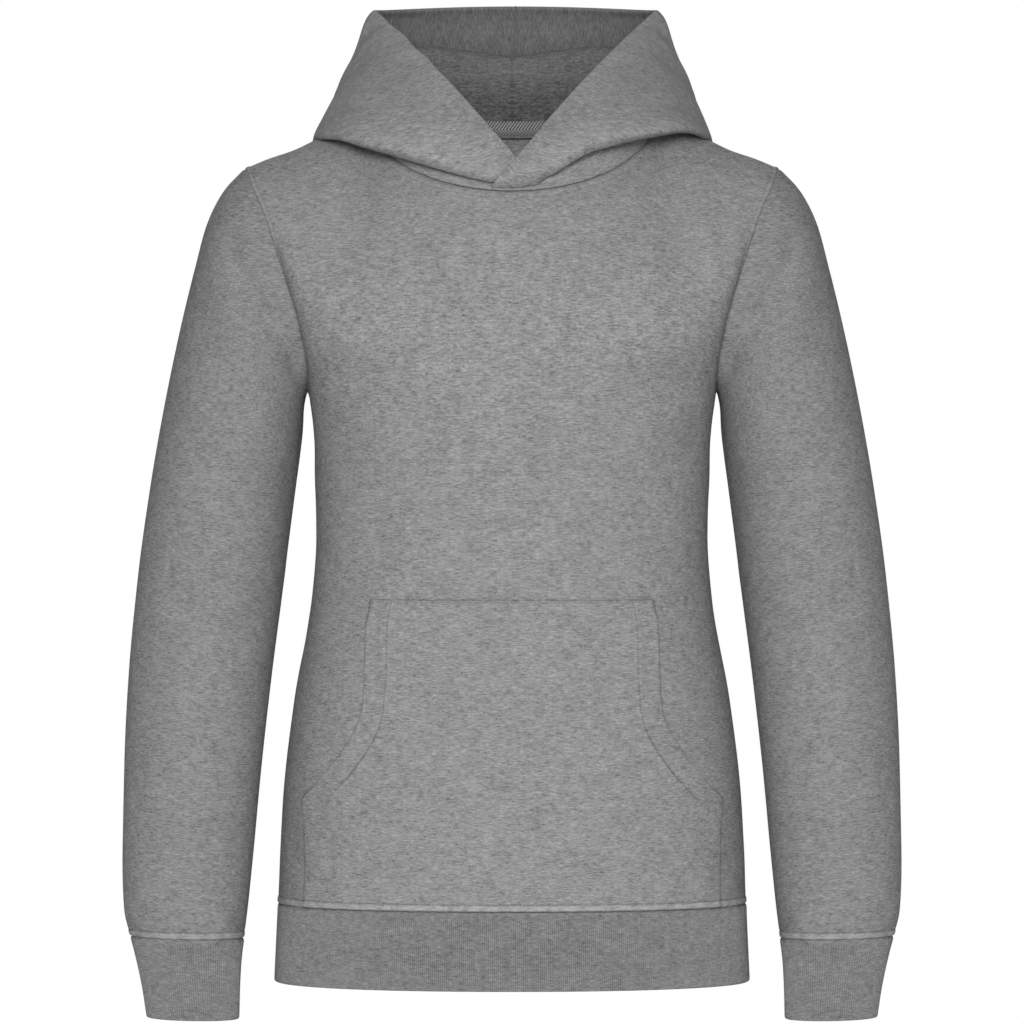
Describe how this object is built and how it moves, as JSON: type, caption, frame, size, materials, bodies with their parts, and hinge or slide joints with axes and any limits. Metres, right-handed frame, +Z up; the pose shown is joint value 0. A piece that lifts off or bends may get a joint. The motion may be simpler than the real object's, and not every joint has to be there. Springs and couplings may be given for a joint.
{
  "type": "pullover hoodie",
  "caption": "Child's pullover hoodie in grey marl jersey, filled out as worn with no wearer, with a crossover lined hood, kangaroo pocket, set-in sleeves, and rib cuffs and hem.",
  "frame": {"origin": "middle of the neck, level with the high points of the shoulders, where the wearer's neck passes", "axes": "+Z up, -Y out of the front, +X to the right as seen from the front (the wearer's left)"},
  "size_m": [0.4956, 0.2464, 0.6535],
  "materials": {
    "jersey": "grey marl sweatshirt jersey with fine light streaks across, matt",
    "lining": "the same grey marl jersey, hood lining, matt",
    "rib": "grey marl fine rib knit, matt",
    "tape": "grey herringbone woven tape"
  },
  "bodies": {
    "root": {"body_front": "jersey", "body_back": "jersey", "sleeve_right": "jersey", "sleeve_left": "jersey", "pocket": "jersey", "hood_right": "jersey", "hood_left": "jersey", "hood_lining_right": "lining", "hood_lining_left": "lining", "hem_band": "rib", "cuff_right": "rib", "cuff_left": "rib", "neck_tape": "tape"}
  },
  "joints": []
}
